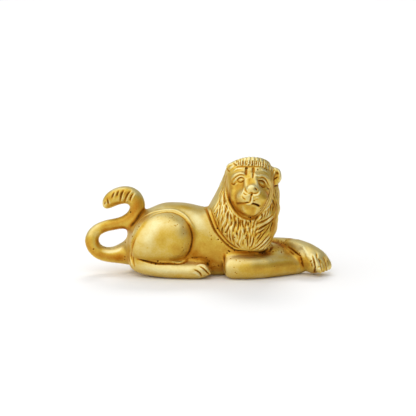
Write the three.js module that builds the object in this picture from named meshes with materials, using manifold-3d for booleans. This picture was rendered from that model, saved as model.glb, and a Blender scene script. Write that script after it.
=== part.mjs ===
// A small lion cast in brass as one piece: it lies down, its head turned to its right and its
// forepaws crossed, and its tail rises in an S with a tuft at the end.
// Millimetres, +Z up. The lion faces +X and its right side, which carries the face, looks along -Y.
// The origin is on the ground under the belly, in the plane that halves the body.

import * as THREE from 'three';
import { mergeVertices } from 'three/addons/utils/BufferGeometryUtils.js';
import Module from 'manifold-3d';

const wasm = await Module();
wasm.setup();

// Driving dimensions
const BACK = 33.8; // height of the back over the ground
const FLANK = 14.6; // half the body's width
const LEG = 5.5; // half the thickness of a leg that lies on the ground
const TAIL = 3.2; // half the thickness of the tail
const NECK = 17; // half the width of the mane where it meets the back
const FACE = 11.6; // half the width of the head
const HEAD_AT = [20.1, -7, 40.3]; // middle of the head
const HEAD_PITCH = THREE.MathUtils.degToRad(12); // the face looks up a little

// Facets of each form: how many round it, and how many along it
const FACETS = {
  torso: [22, 18],
  haunch: [20, 14],
  hindLeg: [12, 12],
  rightForeleg: [14, 12],
  leftForeleg: [14, 16],
  breast: [16, 10],
  toe: [8, 6],
  tail: [10, 36],
  web: [10, 8],
  chiselCut: [4, 4],
  skull: [20, 14],
  muzzle: [12, 12],
  faceForm: [10, 6],
  brow: [6, 5],
  mouth: [6, 8],
  notch: [6, 4],
};

const BRASS = new THREE.MeshStandardMaterial({ color: 0xc9a03c, roughness: 0.34, metalness: 1 });

// Points of the compass round a limb that stands up, in radians from the lion's tail
const FRONT = -Math.PI / 2;
const REAR = Math.PI / 2;

// A limb is a sphere's grid of vertices drawn out along a line of stations. Each station is
// [x, y, z, half width across the line, half height along `up`]. `blunt` is the share of the line
// over which each end rounds off, and `square` is 2 for a round section and more for a boxy one.
// The sections stand square to the line, or to `facing` where that is given.
function limbSurface(stations, { up = [0, 0, 1], facing, square = 2, blunt = [0.12, 0.12] } = {}) {
  const path = new THREE.CatmullRomCurve3(stations.map(([x, y, z]) => new THREE.Vector3(x, y, z)));
  const girth = new THREE.CatmullRomCurve3(stations.map(([, , , w, h]) => new THREE.Vector3(w, h, 0)));
  const upright = new THREE.Vector3(...up);
  const boxy = (value) => Math.sign(value) * Math.abs(value) ** (2 / square);
  const rounded = (share) => Math.sqrt(1 - (1 - THREE.MathUtils.clamp(share, 0, 1)) ** 2);
  return (along, around) => {
    const tangent = facing ? new THREE.Vector3(...facing) : path.getTangent(along);
    const aside = tangent.clone().cross(upright).normalize();
    const over = aside.clone().cross(tangent);
    const end = rounded(along / blunt[0]) * rounded((1 - along) / blunt[1]);
    const { x: width, y: height } = girth.getPoint(along).multiplyScalar(end);
    return path
      .getPoint(along)
      .addScaledVector(aside, width * boxy(Math.cos(around)))
      .addScaledVector(over, height * boxy(Math.sin(around)));
  };
}

// The closed geometry of such a surface. Its rings lie closer together towards both ends.
function drawOut(surface, [sides, steps], crowding = 0.7) {
  const geometry = new THREE.SphereGeometry(1, sides, steps);
  const { position, uv } = geometry.attributes;
  for (let i = 0; i < position.count; i++) {
    const ring = 1 - uv.getY(i);
    const along = ring - (crowding * Math.sin(2 * Math.PI * ring)) / (2 * Math.PI);
    const point = surface(along, 2 * Math.PI * (uv.getX(i) % 1));
    position.setXYZ(i, point.x, point.y, point.z);
  }
  return geometry;
}

function limb(stations, facets, options) {
  return drawOut(limbSurface(stations, options), facets);
}

// Hair on a limb: ridges that stand out from its surface by up to `rise`. The wave is 1 on a ridge
// and 0 in the groove halfway to the next one.
const ridgeWave = (turns) => Math.abs(2 * (turns - Math.floor(turns)) - 1);

function raised(surface, along, around, rise) {
  const point = surface(along, around);
  const outward = point.clone().sub(surface(along, around + Math.PI)).normalize();
  return point.addScaledVector(outward, rise);
}

// An egg-shaped mass: its middle, and half its size along X, Y and Z.
function egg({ at, half }, facets) {
  return new THREE.SphereGeometry(1, ...facets)
    .rotateX(Math.PI / 2)
    .scale(...half)
    .translate(...at);
}

// The same place, and the same stations, on the lion's other side.
const across = ([x, y, ...rest]) => [x, -y, ...rest];
const mirrored = (stations) => stations.map(across);

// Torso, from the rump to the chest: [x, height of its top, of its underside, half width].
// Most of the underside runs on below the ground plane that trims it.
const TORSO_PROFILE = [
  [-39.4, 0.5 * BACK, 8, 0.4 * FLANK],
  [-38.2, 0.64 * BACK, 5.5, 0.6 * FLANK],
  [-34.8, 0.77 * BACK, 3, 0.82 * FLANK],
  [-28, 0.945 * BACK, 0, 0.96 * FLANK],
  [-17, 1.03 * BACK, -2, FLANK],
  [-7, 0.99 * BACK, -2, FLANK],
  [3, 0.92 * BACK, -2, 0.98 * FLANK],
  [15, 0.84 * BACK, -2, FLANK],
  [23, 0.7 * BACK, -2, 0.92 * FLANK],
  [28.5, 0.46 * BACK, -2, 0.66 * FLANK],
];

const TORSO_SHAPE = { facing: [1, 0, 0], square: 2.3, blunt: [0.04, 0.08] };

function torso() {
  const stations = TORSO_PROFILE.map(([x, top, underside, half]) => {
    const middle = (top + underside) / 2;
    return [x, 0, middle, half, top - middle];
  });
  return limb(stations, FACETS.torso, TORSO_SHAPE);
}

// Haunch, from its foot up to its top: it is widest low down. The lower hind leg lies under it.
const HAUNCH = [
  [-23.5, -11, 7.5, 10.5, 5.5],
  [-23.2, -11, 12, 14, 8],
  [-22, -10.5, 19, 15.2, 9.6],
  [-20.8, -9.5, 26, 12.8, 8.6],
  [-20, -8, 31.5, 8, 6],
];
const HAUNCH_SHAPE = { up: [0, 1, 0], facing: [0, 0, 1], square: 2.6, blunt: [0.22, 0.3] };
const HIND_LEG = [
  [-37, -6, 8, LEG * 0.6, LEG * 0.6],
  [-33.5, -9, 6.8, LEG * 0.9, LEG * 0.85],
  [-27, -11.5, 5.4, LEG, LEG * 0.9],
  [-14, -14, 4.2, LEG * 0.95, LEG * 0.8],
  [-4, -13.8, 3.8, LEG * 1.05, LEG * 0.78],
  [0, -13.2, 3, LEG * 0.95, LEG * 0.6],
];
const HIND_TOES = { knuckle: [-5, -13.8, 6.2], tip: [1.6, -13.4, 1.8], spread: 2.7, half: 1.7 };

// Forelegs, from the elbow to the wrist: the left one lies over the right one and ends in a paw
const RIGHT_FORELEG = [
  [8, -12.5, 5.4, LEG * 0.95, LEG],
  [13, -14.5, 5.6, LEG * 1.05, LEG * 1.08],
  [22, -14.5, 5.4, LEG * 1.05, LEG * 1.05],
  [32, -10, 5, LEG * 0.95, LEG * 0.95],
  [41, -4.5, 4.6, LEG * 0.9, LEG * 0.88],
  [49, -1, 4, LEG * 0.85, LEG * 0.75],
];
const LEFT_FORELEG = [
  [10, 14, 6, LEG, LEG],
  [20, 14, 7, LEG, LEG],
  [30, 11, 9.5, LEG * 0.95, LEG],
  [39, 5, 10.7, LEG, LEG * 0.97],
  [46, -1, 9.9, LEG * 1.15, LEG * 1.05],
  [51.7, -4.7, 6.6, LEG * 1.22, LEG * 1.15],
  [56.4, -7.4, 3.6, LEG * 1.15, LEG * 0.85],
];
const FORE_TOES = { knuckle: [49.4, -3.4, 11], tip: [57.2, -8, 1.5], spread: 3.1, half: 2.2 };
const BREAST_FILL = { at: [27, 0, 6], half: [14, 12, 9] }; // brass between the forelegs

// Toes: slim limbs side by side over the end of a paw, fanned out a little from knuckle to tip
const TOES = 4;
const TOE_FAN = { knuckle: 0.75, middle: 1, tip: 1.05 };
const TOE_MIDDLE = 0.55;

function toes({ knuckle, tip, spread, half }) {
  const start = new THREE.Vector3(...knuckle);
  const forward = new THREE.Vector3(...tip).sub(start);
  const aside = forward.clone().cross(new THREE.Vector3(0, 0, 1)).normalize();
  return Array.from({ length: TOES }, (_, index) => {
    const offset = spread * (index - (TOES - 1) / 2);
    const station = (share, lift, fan) => {
      const point = start.clone().addScaledVector(forward, share).addScaledVector(aside, offset * fan);
      return [point.x, point.y, point.z + lift, half, half];
    };
    const stations = [
      station(0, 0, TOE_FAN.knuckle),
      station(TOE_MIDDLE, half, TOE_FAN.middle),
      station(1, 0, TOE_FAN.tip),
    ];
    return limb(stations, FACETS.toe, { blunt: [0.3, 0.3] });
  });
}

// Tail, in the body's middle plane: [x, z, half thickness] from the rump to the tip of the tuft
const TAIL_Y = 1;
const TAIL_LINE = [
  [-31, 9, TAIL * 2],
  [-38, 9.6, TAIL * 2.08],
  [-43, 8.8, TAIL * 1.5],
  [-48.2, 8.4, TAIL * 1.18],
  [-53.8, 10.4, TAIL * 1.16],
  [-56.5, 15.3, TAIL * 1.12],
  [-54.6, 20, TAIL],
  [-48.5, 22.9, TAIL * 0.92],
  [-41.6, 24.2, TAIL * 0.96],
  [-35.8, 27, TAIL * 1.3],
  [-33.6, 32.8, TAIL * 1.22],
  [-36.2, 37.4, TAIL * 1.32],
  [-41.6, 37.8, TAIL * 1.38],
  [-46.4, 35.7, TAIL * 1.2],
  [-50.4, 31.4, TAIL * 0.72],
];
const tailSurface = limbSurface(
  TAIL_LINE.map(([x, z, half]) => [x, TAIL_Y, z, half, half]),
  { up: [0, 1, 0], blunt: [0.04, 0.05] },
);

// The web of brass that rounds off the loop where the tail leaves the rump
const TAIL_WEB = { at: [-36.8, TAIL_Y, 22.6], half: [3.2, 2.6, 3.6] };

// Cuts of a chisel across both faces of the tuft, each a thin four-sided limb laid on the surface
const TUFT_CUTS = { count: 6, from: 0.785, to: 0.955, reach: 0.85, slant: 0.012, half: 0.55, depth: 0.8 };

function tuftCuts() {
  const { count, from, to, reach, slant, half, depth } = TUFT_CUTS;
  return [FRONT, REAR].flatMap((face) =>
    Array.from({ length: count }, (_, index) => {
      const along = THREE.MathUtils.lerp(from, to, index / (count - 1));
      const stations = [-1, 0, 1].map((side) => [
        ...tailSurface(along + side * slant, face + side * reach),
        half,
        depth,
      ]);
      return limb(stations, FACETS.chiselCut, { up: [0, 1, 0], blunt: [0.4, 0.4] });
    }),
  );
}

// Mane: a collar round the neck, from the bib over the forelegs up to the crown
const MANE = [
  [21.5, -8.5, 11.5, NECK * 0.4, NECK * 0.48],
  [19.8, -7.2, 16, NECK * 0.63, NECK * 0.64],
  [18.6, -5.4, 21, NECK * 0.82, NECK * 0.75],
  [18, -3.8, 27, NECK * 0.95, NECK * 0.8],
  [17.4, -2.2, 32, NECK, NECK * 0.82],
  [19.5, -0.4, 39, NECK * 0.91, NECK * 0.77],
  [20.4, 0.8, 46, NECK * 0.78, NECK * 0.68],
  [20.5, 1, 52, NECK * 0.67, NECK * 0.56],
  [20.6, 0.6, 56.4, NECK * 0.44, NECK * 0.36],
];
const maneSurface = limbSurface(MANE, {
  up: [0, 1, 0],
  facing: [0, 0, 1],
  square: 2.5,
  blunt: [0.1, 0.16],
});

// Locks of the mane: tiers of ridges, each lock standing out most at its lower end and set halfway
// between two of the tier below. They flatten out over the share of the mane given by `smoothFrom`.
const MANE_HAIR = { tiers: 5, locks: 20, rise: 1.5, ringsPerTier: 3, smoothFrom: [0.5, 0.75] };

function mane() {
  const { tiers, locks, rise, ringsPerTier, smoothFrom } = MANE_HAIR;
  const hair = (along, around) => {
    const tier = along * tiers;
    const row = Math.min(Math.floor(tier), tiers - 1);
    const ridge = ridgeWave((locks * around) / (2 * Math.PI) + row / 2);
    const fallen = 1 - (tier - row);
    const standing = 1 - THREE.MathUtils.smoothstep(along, ...smoothFrom);
    return raised(maneSurface, along, around, rise * ridge * fallen * standing);
  };
  return drawOut(hair, [2 * locks, tiers * ringsPerTier], 0);
}

// Head, as the face is seen: +X to its left, +Z up, and -Y towards whoever it looks at. Stations
// of the skull run from the chin to the crown, before the head is pitched and set in the mane.
const SKULL = [
  [0.3, -4.4, -12.3, FACE * 0.36, FACE * 0.5],
  [0.3, -3.8, -9.8, FACE * 0.64, FACE * 0.68],
  [0.2, -2.4, -5.5, FACE * 0.86, FACE * 0.82],
  [0.1, -1.2, 0.5, FACE * 0.97, FACE * 0.95],
  [0.1, -0.4, 6.5, FACE, FACE],
  [0, 0.8, 12, FACE * 0.95, FACE * 0.92],
  [0, 2.2, 16.8, FACE * 0.62, FACE * 0.7],
];
const SKULL_SHAPE = { up: [0, 1, 0], facing: [0, 0, 1], square: 2.2, blunt: [0.12, 0.16] };

// Muzzle: stations from the chin up to the bridge of the nose
const MUZZLE = [
  [0.4, -10.2, -11.4, 3.2, 2.6],
  [0.4, -10.8, -9, 4.8, 4],
  [0.9, -11.2, -5.5, 7.2, 5.6],
  [1, -11.2, -1.5, 6.6, 6],
  [1.1, -10.6, 2, 4, 5.8],
  [1, -9.8, 6.5, 3.6, 4],
  [0.7, -9, 10.5, 4.2, 2.6],
];
const MUZZLE_SHAPE = { up: [0, 1, 0], facing: [0, 0, 1], square: 2.2, blunt: [0.14, 0.12] };

// Round forms of the face: middle and half sizes
const FACE_FORMS = [
  { at: [1.2, -15.8, 1], half: [3.4, 2, 2] }, // nose
  { at: [-2.5, -13.2, -2.8], half: [4.4, 4.2, 3.6] }, // right whisker pad
  { at: [4.7, -13, -3.2], half: [4.3, 4.2, 3.6] }, // left whisker pad
  { at: [0.4, -12.2, -9.2], half: [4.2, 2.8, 2.6] }, // chin
];
const SOCKETS = [
  { at: [-4.4, -12.9, 5.4], half: [3, 2, 1.9] },
  { at: [5.7, -12.7, 3.7], half: [2.9, 2, 1.9] },
];
const EYES = [
  { at: [-4.3, -10.5, 5.4], half: [2, 1.5, 1.3] },
  { at: [5.5, -10.3, 3.7], half: [1.9, 1.5, 1.3] },
];
const RIGHT_BROW = [
  [-9, -9, 5.4, 0.9, 0.9],
  [-6, -11, 8.4, 1, 1],
  [-2, -12, 8, 0.9, 0.9],
];
const LEFT_BROW = [
  [2.8, -12, 7.2, 0.9, 0.9],
  [7, -10.8, 7.2, 1, 1],
  [10, -7.8, 3.6, 0.9, 0.9],
];

// Cuts into the face: the mouth and two upright notches in the forehead, as stations of a thin limb
const MOUTH = [
  [-6.4, -13.6, -5.6, 0.5, 1],
  [-2.4, -17.2, -6.4, 0.6, 1.2],
  [0.8, -16.8, -5.8, 0.6, 1.2],
  [3.2, -17, -6.7, 0.7, 1.2],
  [7, -13.4, -7.6, 0.5, 1],
];
const RIGHT_NOTCH = [
  [-1.3, -11.2, 12.6, 0.8, 1],
  [-1.4, -13.4, 8, 0.5, 0.7],
];
const LEFT_NOTCH = [
  [2.2, -11.2, 12.6, 0.8, 1],
  [2.1, -14, 6.4, 0.5, 0.7],
];

// Ears: a round one that stands out on the lion's left and a low one on its right
const EARS = [
  { at: [13.2, 0, 8], half: [2.4, 2.4, 4.2] },
  { at: [-9.6, -3.6, 11.9], half: [2, 2.4, 2.3] },
];

// Fringe: a roll of hair round the brow from ear to ear, ridged with short upright locks
const FRINGE = { turns: [-58, 66], radius: 10, back: 1.8, z: 13.7, droop: 1.9, half: [1.7, 2.3] };
const FRINGE_STATIONS = 7;
const FRINGE_SIDES = 8;
const FRINGE_HAIR = { locks: 14, rise: 0.8 };

function fringe() {
  const stations = Array.from({ length: FRINGE_STATIONS }, (_, index) => {
    const share = index / (FRINGE_STATIONS - 1);
    const turn = THREE.MathUtils.degToRad(THREE.MathUtils.lerp(...FRINGE.turns, share));
    const drop = FRINGE.droop * (2 * share - 1) ** 2;
    const depth = FRINGE.back - FRINGE.radius * Math.cos(turn);
    return [FRINGE.radius * Math.sin(turn), depth, FRINGE.z - drop, ...FRINGE.half];
  });
  const roll = limbSurface(stations, { blunt: [0.08, 0.08] });
  const { locks, rise } = FRINGE_HAIR;
  const hair = (along, around) => raised(roll, along, around, rise * ridgeWave(along * locks + 0.5));
  return drawOut(hair, [FRINGE_SIDES, 2 * locks], 0);
}

const eggs = (forms) => forms.map((form) => egg(form, FACETS.faceForm));
const inMane = (geometry) => geometry.rotateX(-HEAD_PITCH).translate(...HEAD_AT);

function head() {
  const bone = [
    drawOut(limbSurface(SKULL, SKULL_SHAPE), FACETS.skull, 0.2),
    limb(MUZZLE, FACETS.muzzle, MUZZLE_SHAPE),
    limb(RIGHT_BROW, FACETS.brow),
    limb(LEFT_BROW, FACETS.brow),
    ...eggs(FACE_FORMS),
  ];
  const cuts = [
    limb(MOUTH, FACETS.mouth),
    limb(RIGHT_NOTCH, FACETS.notch),
    limb(LEFT_NOTCH, FACETS.notch),
    ...eggs(SOCKETS),
  ];
  const raisedForms = [...eggs(EYES), ...eggs(EARS), fringe()];
  return joined(bone.map(inMane))
    .subtract(joined(cuts.map(inMane)))
    .add(joined(raisedForms.map(inMane)));
}

// A closed geometry as a solid, and a solid as a geometry
function solid(geometry) {
  const bare = geometry.clone();
  bare.deleteAttribute('normal');
  bare.deleteAttribute('uv');
  const merged = mergeVertices(bare);
  const mesh = new wasm.Mesh({
    numProp: 3,
    vertProperties: merged.attributes.position.array,
    triVerts: new Uint32Array(merged.index.array),
  });
  return new wasm.Manifold(mesh);
}

function geometryOf(made) {
  const { vertProperties, triVerts } = made.getMesh();
  const geometry = new THREE.BufferGeometry();
  geometry.setAttribute('position', new THREE.BufferAttribute(vertProperties, 3));
  geometry.setIndex(new THREE.BufferAttribute(triVerts, 1));
  geometry.computeVertexNormals();
  return geometry;
}

// Several closed geometries joined into one solid
const joined = (geometries) => geometries.map(solid).reduce((made, piece) => made.add(piece));

const body = [
  torso(),
  limb(HAUNCH, FACETS.haunch, HAUNCH_SHAPE),
  limb(mirrored(HAUNCH), FACETS.haunch, HAUNCH_SHAPE),
  limb(HIND_LEG, FACETS.hindLeg),
  limb(mirrored(HIND_LEG), FACETS.hindLeg),
  ...toes(HIND_TOES),
  ...toes({ ...HIND_TOES, knuckle: across(HIND_TOES.knuckle), tip: across(HIND_TOES.tip) }),
  limb(RIGHT_FORELEG, FACETS.rightForeleg),
  limb(LEFT_FORELEG, FACETS.leftForeleg),
  ...toes(FORE_TOES),
  egg(BREAST_FILL, FACETS.breast),
  drawOut(tailSurface, FACETS.tail),
  egg(TAIL_WEB, FACETS.web),
  mane(),
];

// Everything below the ground plane is trimmed away, which leaves the flat underside
const TRIM = { side: 200, depth: 40 };
const belowGround = new THREE.BoxGeometry(TRIM.side, TRIM.side, TRIM.depth).translate(0, 0, -TRIM.depth / 2);
const casting = joined(body)
  .add(head())
  .subtract(joined([belowGround, ...tuftCuts()]));

const lion = new THREE.Mesh(geometryOf(casting), BRASS);
lion.name = 'lion';

const statue = new THREE.Group();
statue.add(lion);

export default statue;
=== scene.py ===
import math

import bmesh
import bpy
import numpy as np
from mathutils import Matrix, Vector
from mathutils.bvhtree import BVHTree


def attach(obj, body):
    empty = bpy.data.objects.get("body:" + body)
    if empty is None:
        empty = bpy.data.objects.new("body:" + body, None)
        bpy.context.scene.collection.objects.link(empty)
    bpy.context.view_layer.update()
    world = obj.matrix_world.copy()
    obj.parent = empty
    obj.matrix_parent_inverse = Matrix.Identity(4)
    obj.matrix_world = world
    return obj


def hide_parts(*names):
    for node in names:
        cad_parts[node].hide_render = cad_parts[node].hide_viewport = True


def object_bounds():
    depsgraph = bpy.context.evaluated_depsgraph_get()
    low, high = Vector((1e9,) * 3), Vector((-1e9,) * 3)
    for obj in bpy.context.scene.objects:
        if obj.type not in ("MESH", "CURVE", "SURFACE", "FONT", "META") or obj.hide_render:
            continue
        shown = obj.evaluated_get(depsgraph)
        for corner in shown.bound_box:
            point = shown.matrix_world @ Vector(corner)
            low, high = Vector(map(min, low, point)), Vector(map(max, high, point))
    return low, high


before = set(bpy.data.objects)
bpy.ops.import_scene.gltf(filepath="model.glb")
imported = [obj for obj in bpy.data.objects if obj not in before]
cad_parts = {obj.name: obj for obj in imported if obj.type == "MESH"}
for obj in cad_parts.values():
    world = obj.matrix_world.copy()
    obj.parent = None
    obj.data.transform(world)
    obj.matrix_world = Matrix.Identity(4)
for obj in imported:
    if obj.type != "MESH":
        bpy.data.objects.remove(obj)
solid_low, solid_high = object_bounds()

# Camera. It stands where the photograph was taken from, a little above the lion's near flank.
# Pixels are those of the photograph, counted from its top left corner.
MM = 0.001
PHOTO_SIDE = 416
MIDDLE_PIXEL = (207.5, 218.5)
FOCAL_PIXELS = 1537
SENSOR = 36
EYE = Vector((0, -733.6, 155.9)) * MM
LOOKED_AT = Vector((0, 0, 26.5)) * MM

camera = bpy.data.objects.new("camera", bpy.data.cameras.new("camera"))
bpy.context.scene.collection.objects.link(camera)
bpy.context.scene.camera = camera
camera.location = EYE
sight = (LOOKED_AT - EYE).to_track_quat("-Z", "Y")
camera.rotation_euler = sight.to_euler()
camera.data.sensor_width = SENSOR
camera.data.lens = SENSOR * FOCAL_PIXELS / PHOTO_SIDE
camera.data.shift_x = (PHOTO_SIDE / 2 - MIDDLE_PIXEL[0]) / PHOTO_SIDE
camera.data.shift_y = (MIDDLE_PIXEL[1] - PHOTO_SIDE / 2) / PHOTO_SIDE

# Casting. One solid piece of cast brass. Its flats are eased into round flesh, less on the face, the tuft
# and the paws. The creases where a limb or the muzzle melts into its neighbour are filled, and the other
# creases stay sharp. Joins are a middle and a reach in mm, and forms have a share of the easing too.
WELD = 0.001 * MM
CELL = 0.27 * MM
FIRST_PASSES = 16
EASY_PASSES = 600
EASY_SHARE = 0.3
CREASE = 0.12
CREASE_SHARE = 0.08
SOFT_JOINS = [
    ((8, -15, 7), 10),
    ((12, -14.5, 12), 10),
    ((18, -14.5, 12), 10),
    ((24, -12.5, 11.5), 10),
    ((30, -9, 11.5), 10),
    ((36, -5, 12), 10),
    ((-3, -13.8, 8), 9),
    ((3, -12.8, 6), 10),
    ((-7.5, -15, 16), 10),
    ((-9, -15.5, 22), 9),
    ((56, -7.5, 4), 12),
    ((13.7, -18, 41), 8),
    ((28.4, -16, 42), 8),
    ((16.5, -18.4, 46), 7),
    ((24.8, -20, 45.5), 7),
]
FILL_ROUNDS = 8
FILL_PASSES = 60
FILL_SHARPNESS = 3
FILL_ELSEWHERE = 0.12
FORMS = [
    ((-28, 0, 22), 62, 1),
    ((-50, 0, 34), 10, 0.3),
    ((20.5, -16, 44), 16, 0.15),
    ((54, -6, 7), 9, 0.06),
    ((0, -13.5, 4), 5, 0.06),
    ((0, 13.5, 4), 5, 0.06),
    ((13.8, -19, 40.5), 8.5, 1),
    ((28, -18.5, 41.5), 8.5, 1),
    ((16.6, -18.3, 45.5), 6, 0.7),
    ((25, -21, 45.5), 6, 0.7),
]

lion = bpy.data.objects.new("lion_casting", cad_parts["lion"].data.copy())
bpy.context.scene.collection.objects.link(lion)
welded = bmesh.new()
welded.from_mesh(lion.data)
bmesh.ops.remove_doubles(welded, verts=welded.verts, dist=WELD)
welded.to_mesh(lion.data)
welded.free()
cells = lion.modifiers.new("cells", "REMESH")
cells.mode = "VOXEL"
cells.voxel_size = CELL
lion.data = bpy.data.meshes.new_from_object(lion.evaluated_get(bpy.context.evaluated_depsgraph_get()))
lion.modifiers.clear()

points = np.empty(3 * len(lion.data.vertices))
lion.data.vertices.foreach_get("co", points)
points = points.reshape(-1, 3)
ends = np.empty(2 * len(lion.data.edges), int)
lion.data.edges.foreach_get("vertices", ends)
ends = ends.reshape(-1, 2)
starts = np.concatenate([ends[:, 0], ends[:, 1]])
mates = np.concatenate([ends[:, 1], ends[:, 0]])[np.argsort(starts, kind="stable")]
neighbours = np.bincount(starts, minlength=len(points))
first_mate = np.cumsum(neighbours) - neighbours


def averaged(values):
    """The mean of each point's neighbours."""
    sums = [np.add.reduceat(column[mates], first_mate) for column in values.T]
    return np.stack(sums, 1) / neighbours[:, None]


def eased(values, passes, share=None):
    """Values drawn half the way to their neighbours' mean at each pass, or a share of that way."""
    lion.data.vertices.foreach_set("co", values.ravel())
    lion.data.update()
    easing = lion.modifiers.new("easing", "SMOOTH")
    easing.factor = 1
    easing.iterations = passes
    if share is not None:
        group = lion.vertex_groups.new(name="share")
        for point, weight in enumerate(share.tolist()):
            group.add((point,), weight, "REPLACE")
        easing.vertex_group = group.name
    soft = np.empty(3 * len(points))
    lion.evaluated_get(bpy.context.evaluated_depsgraph_get()).data.vertices.foreach_get("co", soft)
    lion.modifiers.clear()
    lion.vertex_groups.clear()
    return soft.reshape(-1, 3)


def normals():
    """The way out of the skin at each point."""
    lion.data.vertices.foreach_set("co", points.ravel())
    lion.data.update()
    out = np.empty(3 * len(points))
    lion.data.vertex_normals.foreach_get("vector", out)
    return out.reshape(-1, 3)


def rounded(passes, share=None):
    """The skin with its bumps of that many passes taken off and its bulk put back."""
    soft = eased(points, passes, share)
    soft = soft + eased(points - soft, passes, share)
    return soft + eased(points - soft, passes, share)


def near(middle, reach):
    """One within half the reach of the middle, in mm, and nothing past it."""
    gaps = np.linalg.norm(points - np.array(middle) * MM, axis=1)
    return np.clip(2 - 2 * gaps / (reach * MM), 0, 1)


def crease():
    """One in the creases of the skin, and nothing on flats and rounds."""
    hollow = np.einsum("ij,ij->i", averaged(points) - points, normals()) / CELL
    return np.clip(hollow / CREASE, 0, 1)


points = rounded(FIRST_PASSES)
filled = np.full(len(points), FILL_ELSEWHERE)
for middle, reach in SOFT_JOINS:
    filled = np.maximum(filled, near(middle, reach))
for _ in range(FILL_ROUNDS):
    points = eased(points, FILL_PASSES, filled * np.clip(FILL_SHARPNESS * crease(), 0, 1))
share = np.full(len(points), EASY_SHARE)
for middle, reach, goal in FORMS:
    share = share + (goal - share) * near(middle, reach)
share = share * (1 - (1 - CREASE_SHARE) * crease() * (1 - filled))
share = averaged(averaged(share[:, None]))[:, 0]
points = rounded(EASY_PASSES, share)
out = normals()

# Carving tools. The chaser's lines are drawn in pixels of the photograph and laid on the skin they cover.
# Each stroke cuts the brass or raises it, and leaves it sooty in a cut or bright where it is rubbed;
# strokes with no depth lay stains and painted shade, or painted highlights.
# Half widths and depths of strokes are in mm, and their soot and shine run from 0 to 1.
SEED = 7
TRACE_GAP = 0.4
LEAST_FADE = 1e-6
tree = BVHTree.FromObject(lion, bpy.context.evaluated_depsgraph_get())
cut = np.zeros(len(points))
rise = np.zeros(len(points))
# The dark layer holds the soot of cuts, pits and stains together with painted shade; the bright layer
# below it holds rubbed ridges together with painted highlights.
soot_and_shade = np.zeros(len(points))
rubbed_and_highlit = np.zeros(len(points))
chance = np.random.default_rng(SEED)


def curve(line, gap):
    """A smooth line through the points, with marks about gap apart."""
    line = np.array(line, float)
    if len(line) == 2:
        line = np.array([line[0], line.mean(0), line[1]])
    around = np.vstack([2 * line[0] - line[1], line, 2 * line[-1] - line[-2]])
    marks = []
    for before, start, end, after in zip(around, around[1:], around[2:], around[3:]):
        count = max(2, int(np.linalg.norm(end - start) / gap))
        t = np.linspace(0, 1, count, endpoint=False)[:, None]
        bend = 2 * before - 5 * start + 4 * end - after
        twist = 3 * (start - end) + after - before
        marks.append(start + t * ((end - before) + t * (bend + t * twist)) / 2)
    return np.vstack([*marks, line[-1:]])


def laid(spots):
    """Photograph pixels laid on the skin."""
    turned = sight.to_matrix()
    hits = []
    for across, down in spots:
        right = (across - MIDDLE_PIXEL[0]) / FOCAL_PIXELS
        up = (MIDDLE_PIXEL[1] - down) / FOCAL_PIXELS
        hit = tree.ray_cast(EYE, turned @ Vector((right, up, -1)))[0]
        if hit is not None:
            hits.append(hit)
    return np.array(hits).reshape(-1, 3)


def traced(line):
    """A smooth line of photograph pixels laid on the skin."""
    return laid(curve(line, TRACE_GAP))


def nearest(path):
    """The path drawn to the skin that lies nearest."""
    return np.array([tree.find_nearest(Vector(spot))[0] for spot in path]).reshape(-1, 3)


def both_sides(line, plane=0):
    """A line of photograph pixels on the near skin, and its like on the far side of the plane."""
    path = traced(line)
    return path, nearest(path * (1, -1, 1) + (0, 2 * plane, 0))


def stroke(path, half_width, depth, fade=0.3, dark=0.0, bright=0.0):
    """Cuts along the path, or raises the skin where depth is under zero, fading at the two ends."""
    if not len(path):
        return
    reach = half_width * MM
    close = np.flatnonzero(((points > path.min(0) - reach) & (points < path.max(0) + reach)).all(1))
    if not len(close):
        return
    gaps = np.linalg.norm(points[close, None] - path[None], axis=2)
    along = (gaps.argmin(1) + 0.5) / len(path)
    ending = np.clip(np.minimum(along, 1 - along) / max(fade, LEAST_FADE), 0, 1) ** 0.5
    profile = np.clip(1 - (gaps.min(1) / reach) ** 2, 0, 1) ** 2 * ending
    for layer, height in [(cut, depth * MM), (rise, -depth * MM), (soot_and_shade, dark), (rubbed_and_highlit, bright)]:
        layer[close] = np.maximum(layer[close], height * profile)


def carved(cuts, ridges):
    """Sooty cuts and bright ridges, each a line with its half width, its depth or height and its tone."""
    for line, half_width, depth, dark in cuts:
        stroke(traced(line), half_width, depth, dark=dark)
    for line, half_width, height, bright in ridges:
        stroke(traced(line), half_width, -height, bright=bright)


# Haunches. A raised rim runs over each haunch, with a groove on its inner side, and a deeper groove parts
# the haunch from the foot below it. The haunch's broad face is a little flattened, and a short ridge
# stands where the tail leaves the rump.
HAUNCH_RIM = [
    (130.5, 250), (132.4, 236), (137, 225), (143, 217.5), (151.4, 212.6), (160, 210.4), (170.9, 209.4),
    (178, 211), (184, 214.6), (189, 220), (193.6, 228),
]
HAUNCH_GROOVE = [
    (131.3, 255), (132.4, 247), (135.4, 238.5), (140, 230), (146, 221.4), (153, 215.4), (161, 212.8),
    (170, 212), (177, 213.9), (182.6, 217.2), (186.4, 221.4), (189.4, 226), (191.4, 231), (192.4, 237),
    (191.8, 244), (190, 250), (187, 255.4), (183, 259.5),
]
FOOT_GROOVE = [
    (137, 259), (145, 261.2), (155, 263.3), (163, 263.7), (171, 263.5), (179, 263.6), (184.7, 262),
    (188, 259.6),
]
RUMP_CREASE = [(145.6, 207.5), (140.2, 214), (134.7, 221.8), (130, 226.8)]
FLANK_FOLD = [(192.5, 258), (198, 257.2), (204, 257.8), (208, 260.6), (209.6, 265)]
HAUNCH_FLAT = [(152, 230), (158, 236), (164, 242)]
RUMP_RIDGE = [(130.4, 251), (130.6, 257), (131.4, 262), (132.4, 266)]
RUMP_GROOVE = [(133.4, 257), (133.6, 262), (134.8, 267)]
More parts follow.
